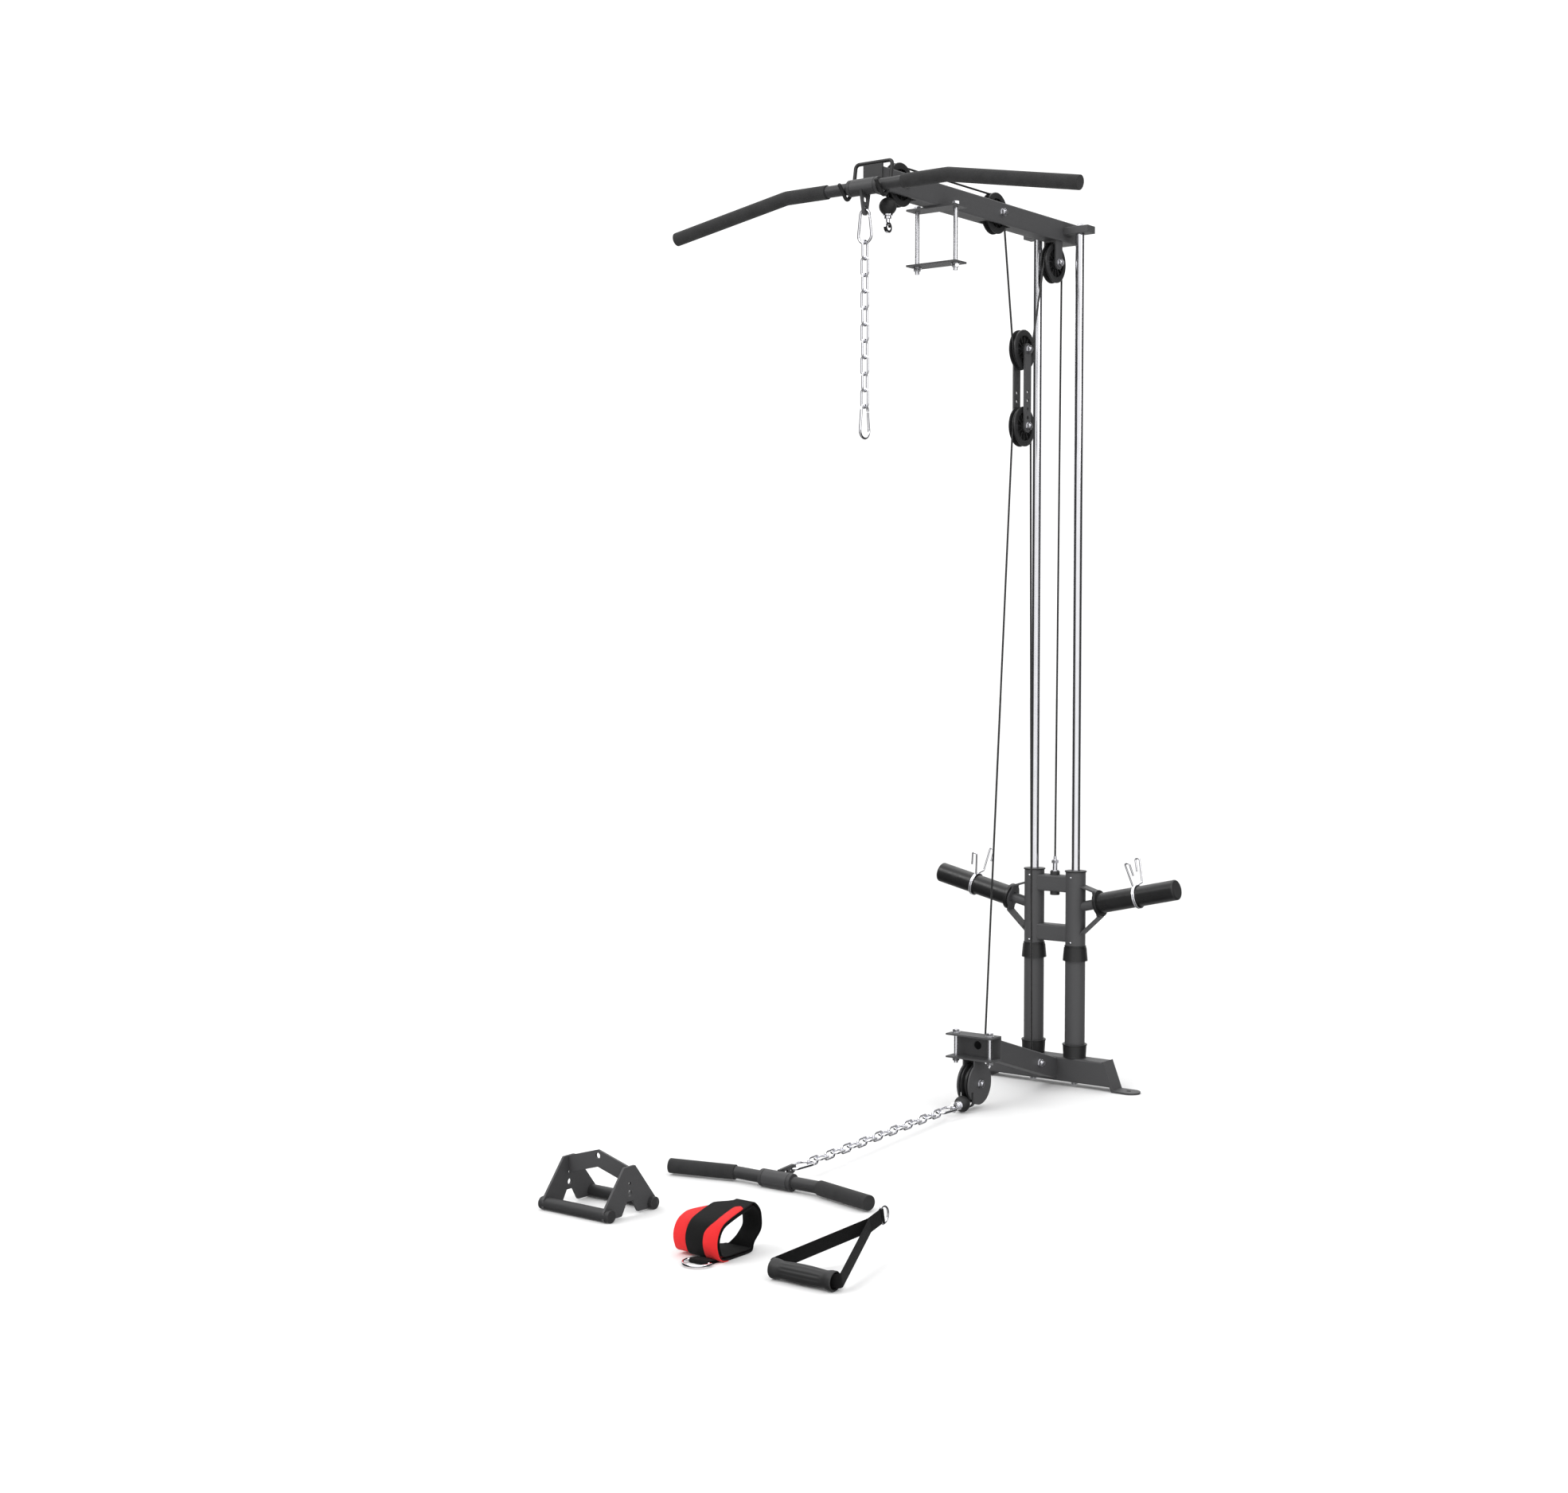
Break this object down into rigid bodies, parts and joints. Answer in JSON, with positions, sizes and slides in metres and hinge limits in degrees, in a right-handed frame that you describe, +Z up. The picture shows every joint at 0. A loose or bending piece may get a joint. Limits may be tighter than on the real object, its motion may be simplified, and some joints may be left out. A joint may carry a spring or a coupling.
{
  "type": "cable pulldown and row attachment",
  "caption": "Plate-loaded lat pulldown and low row attachment for a power rack, with a sliding weight carriage, cable pulleys, bars, chains and handles.",
  "frame": {"origin": "on the floor, midway between the two floor bolt holes and the two guide rods", "axes": "+X to the right-hand end of the bars, -Y towards the user, +Z up along the guide rods"},
  "size_m": [1.1232, 1.8585, 2.164],
  "materials": {
    "powder_coat": "fine-textured charcoal powder coat",
    "black_steel": "satin black",
    "chrome": "polished",
    "zinc": "bright zinc plate",
    "black_plastic": "moulded",
    "pulley_plastic": "moulded nylon",
    "black_rubber": "matt",
    "cable_sheath": "smooth",
    "webbing": "woven",
    "strap": "red pad with black webbing"
  },
  "bodies": {
    "frame": {"top_beam": "powder_coat", "bar_holder": "powder_coat", "beam_end_plates": "black_plastic", "beam_brackets": "powder_coat", "rod_crossbar": "powder_coat", "guide_rods": "chrome", "base_beam": "powder_coat", "feet": "powder_coat", "spacer_tubes": "powder_coat", "spacer_cups": "black_plastic", "branch": "powder_coat", "lower_bracket": "powder_coat", "low_pulley_housing": "powder_coat", "frame_axles": "zinc", "frame_bolts": "zinc", "lat_cable": "cable_sheath", "row_cable": "cable_sheath"},
    "lift_strand": {"lift_cable": "cable_sheath"},
    "carriage": {"carriage_tubes": "powder_coat", "carriage_bushes": "black_plastic", "carriage_crossplates": "powder_coat", "carriage_fasteners": "zinc", "horn_sleeves": "black_steel", "horn_gussets": "powder_coat", "horn_caps": "black_plastic"},
    "clip_right": {"spring_clip_right": "chrome"},
    "clip_left": {"spring_clip_left": "chrome"},
    "front_wheel": {"front_pulley": "pulley_plastic"},
    "mid_wheel": {"mid_pulley": "pulley_plastic"},
    "rear_cartridge": {"rear_bearing": "zinc"},
    "rear_wheel": {"rear_pulley": "pulley_plastic"},
    "floater": {"floating_straps": "powder_coat", "floating_axles": "zinc"},
    "floating_cartridge": {"floating_bearing": "zinc"},
    "floating_upper_wheel": {"floating_upper_pulley": "pulley_plastic"},
    "floating_lower_wheel": {"floating_lower_pulley": "pulley_plastic"},
    "low_wheel": {"low_pulley": "pulley_plastic"},
    "lat_stop": {"lat_ball": "black_rubber"},
    "lat_eye": {"lat_swivel": "chrome"},
    "pulldown_bar": {"lat_bar": "powder_coat", "lat_grips": "black_rubber"},
    "pulldown_collar": {"lat_collar": "powder_coat"},
    "pulldown_chain": {"lat_chain": "chrome"},
    "pulldown_gate_upper": {"lat_gate_upper": "chrome"},
    "pulldown_gate_lower": {"lat_gate_lower": "chrome"},
    "row_line": {"row_ball": "black_rubber", "row_swivel": "chrome", "row_chain": "chrome", "row_collar": "powder_coat"},
    "row_grip_bar": {"row_bar": "powder_coat", "row_grips": "black_rubber"},
    "row_gate_a": {"row_gate_near": "chrome"},
    "row_gate_b": {"row_gate_far": "chrome"},
    "v_handle": {"v_handle_plates": "powder_coat", "v_handle_grips": "black_rubber"},
    "ankle_cuff": {"ankle_strap": "strap"},
    "ankle_d_ring": {"ankle_ring": "chrome"},
    "single_handle": {"handle_webbing": "webbing"},
    "single_handle_grip": {"handle_grip": "black_rubber"},
    "single_handle_ring": {"handle_ring": "chrome"}
  },
  "joints": [
    {"name": "lat_lift", "type": "slide", "parent": "frame", "child": "lift_strand", "axis": [0, 0, 1], "range_m": [0, 0.75], "deforming": ["lift_cable", "lat_cable"]},
    {"name": "row_lift", "type": "slide", "parent": "lift_strand", "child": "carriage", "axis": [0, 0, 1], "range_m": [0, 0.5], "deforming": ["row_cable"]},
    {"name": "clip_right_slide", "type": "slide", "parent": "carriage", "child": "clip_right", "axis": [0.9744, 0, 0.225], "range_m": [-0.09, 0.095]},
    {"name": "clip_left_slide", "type": "slide", "parent": "carriage", "child": "clip_left", "axis": [-0.9744, 0, 0.225], "range_m": [-0.09, 0.095]},
    {"name": "front_pulley_spin", "type": "hinge", "parent": "frame", "child": "front_wheel", "pos_m": [0, -0.708, 2.116], "axis": [1, 0, 0], "range_deg": [-1100, 1100]},
    {"name": "mid_pulley_spin", "type": "hinge", "parent": "frame", "child": "mid_wheel", "pos_m": [0, -0.305, 2.116], "axis": [1, 0, 0], "range_deg": [-1100, 1100]},
    {"name": "rear_bearing_spin", "type": "hinge", "parent": "frame", "child": "rear_cartridge", "pos_m": [0, -0.028, 2.037], "axis": [1, 0, 0], "range_deg": [-1100, 1100]},
    {"name": "rear_pulley_spin", "type": "hinge", "parent": "rear_cartridge", "child": "rear_wheel", "pos_m": [0, -0.028, 2.037], "axis": [1, 0, 0], "range_deg": [-700, 700]},
    {"name": "floater_slide", "type": "slide", "parent": "frame", "child": "floater", "axis": [0, 0, -1], "range_m": [0, 0.25]},
    {"name": "floating_bearing_spin", "type": "hinge", "parent": "floater", "child": "floating_cartridge", "pos_m": [0, -0.174, 1.8105], "axis": [1, 0, 0], "range_deg": [-1100, 1100]},
    {"name": "floating_upper_spin", "type": "hinge", "parent": "floating_cartridge", "child": "floating_upper_wheel", "pos_m": [0, -0.174, 1.8105], "axis": [1, 0, 0], "range_deg": [-700, 700]},
    {"name": "floating_lower_spin", "type": "hinge", "parent": "floater", "child": "floating_lower_wheel", "pos_m": [0, -0.174, 1.627], "axis": [1, 0, 0], "range_deg": [-700, 700]},
    {"name": "low_pulley_spin", "type": "hinge", "parent": "frame", "child": "low_wheel", "pos_m": [0, -0.378, 0.062], "axis": [1, 0, 0], "range_deg": [-700, 700]},
    {"name": "lat_pull", "type": "slide", "parent": "frame", "child": "lat_stop", "axis": [0, 0, -1], "range_m": [0, 0.75]},
    {"name": "lat_swivel_turn", "type": "hinge", "parent": "lat_stop", "child": "lat_eye", "pos_m": [0, -0.75, 2.04], "axis": [0, 0, 1], "continuous": true},
    {"name": "pulldown_bar_lift", "type": "slide", "parent": "frame", "child": "pulldown_bar", "axis": [0, -0.5, 0.866], "range_m": [0, 0.3]},
    {"name": "pulldown_collar_swing", "type": "hinge", "parent": "pulldown_bar", "child": "pulldown_collar", "pos_m": [0, -0.838, 2.0915], "axis": [1, 0, 0], "range_deg": [-20, 5]},
    {"name": "pulldown_chain_swing", "type": "hinge", "parent": "pulldown_collar", "child": "pulldown_chain", "pos_m": [0, -0.838, 2.0425], "axis": [1, 0, 0], "range_deg": [-30, 3]},
    {"name": "pulldown_upper_gate", "type": "hinge", "parent": "pulldown_chain", "child": "pulldown_gate_upper", "pos_m": [0.01262, -0.838, 2.02594], "axis": [0, 1, 0], "range_deg": [0, 25], "stiffness_Nm_per_rad": 0.02, "springref_deg": -17.19},
    {"name": "pulldown_lower_gate", "type": "hinge", "parent": "pulldown_chain", "child": "pulldown_gate_lower", "pos_m": [0, -0.82538, 1.60624], "axis": [-1, 0, 0], "range_deg": [0, 25], "stiffness_Nm_per_rad": 0.02, "springref_deg": -17.19},
    {"name": "row_pull", "type": "slide", "parent": "frame", "child": "row_line", "axis": [0, -0.8944, 0.4472], "range_m": [0, 0.5]},
    {"name": "row_bar_roll", "type": "hinge", "parent": "row_line", "child": "row_grip_bar", "pos_m": [0.08225, -1.2597, 0.0183], "axis": [1, 0, 0], "range_deg": [-90, 0]},
    {"name": "row_near_gate", "type": "hinge", "parent": "row_line", "child": "row_gate_a", "pos_m": [-0.00179, -0.53368, 0.02089], "axis": [0.0017, -0.0159, -0.9999], "range_deg": [0, 25], "stiffness_Nm_per_rad": 0.02, "springref_deg": -17.19},
    {"name": "row_far_gate", "type": "hinge", "parent": "row_line", "child": "row_gate_b", "pos_m": [0.06797, -1.19744, 0.03154], "axis": [0.0017, -0.0159, -0.9999], "range_deg": [0, 25], "stiffness_Nm_per_rad": 0.02, "springref_deg": -17.19},
    {"name": "v_handle_lift", "type": "slide", "parent": "frame", "child": "v_handle", "axis": [0, 0, 1], "range_m": [0, 0.3]},
    {"name": "ankle_cuff_lift", "type": "slide", "parent": "frame", "child": "ankle_cuff", "axis": [0, 0, 1], "range_m": [0, 0.3]},
    {"name": "ankle_ring_fold", "type": "hinge", "parent": "ankle_cuff", "child": "ankle_d_ring", "pos_m": [0.292, -1.77, 0.005], "axis": [-1, 0, 0], "range_deg": [0, 75]},
    {"name": "single_handle_lift", "type": "slide", "parent": "frame", "child": "single_handle", "axis": [0, 0, 1], "range_m": [0, 0.3]},
    {"name": "single_grip_spin", "type": "hinge", "parent": "single_handle", "child": "single_handle_grip", "pos_m": [0.516, -1.758, 0.0183], "axis": [1, 0, 0], "continuous": true},
    {"name": "single_ring_fold", "type": "hinge", "parent": "single_handle", "child": "single_handle_ring", "pos_m": [0.516, -1.51956, 0.07007], "axis": [0, -0.2122, 0.9772], "range_deg": [-60, 60]}
  ],
  "couplings": [
    {"joint": "front_pulley_spin", "follows": "lat_lift", "rad_per_m": 23.809},
    {"joint": "mid_pulley_spin", "follows": "lat_lift", "rad_per_m": 23.809},
    {"joint": "rear_bearing_spin", "follows": "lat_lift", "rad_per_m": 23.809},
    {"joint": "floating_bearing_spin", "follows": "lat_lift", "rad_per_m": -23.809},
    {"joint": "lat_pull", "follows": "lat_lift", "ratio": 1},
    {"joint": "rear_pulley_spin", "follows": "row_lift", "rad_per_m": 23.809},
    {"joint": "floater_slide", "follows": "row_lift", "ratio": 0.5},
    {"joint": "floating_upper_spin", "follows": "row_lift", "rad_per_m": -11.905},
    {"joint": "floating_lower_spin", "follows": "row_lift", "rad_per_m": 11.905},
    {"joint": "low_pulley_spin", "follows": "row_lift", "rad_per_m": -23.809},
    {"joint": "row_pull", "follows": "row_lift", "ratio": 1}
  ]
}
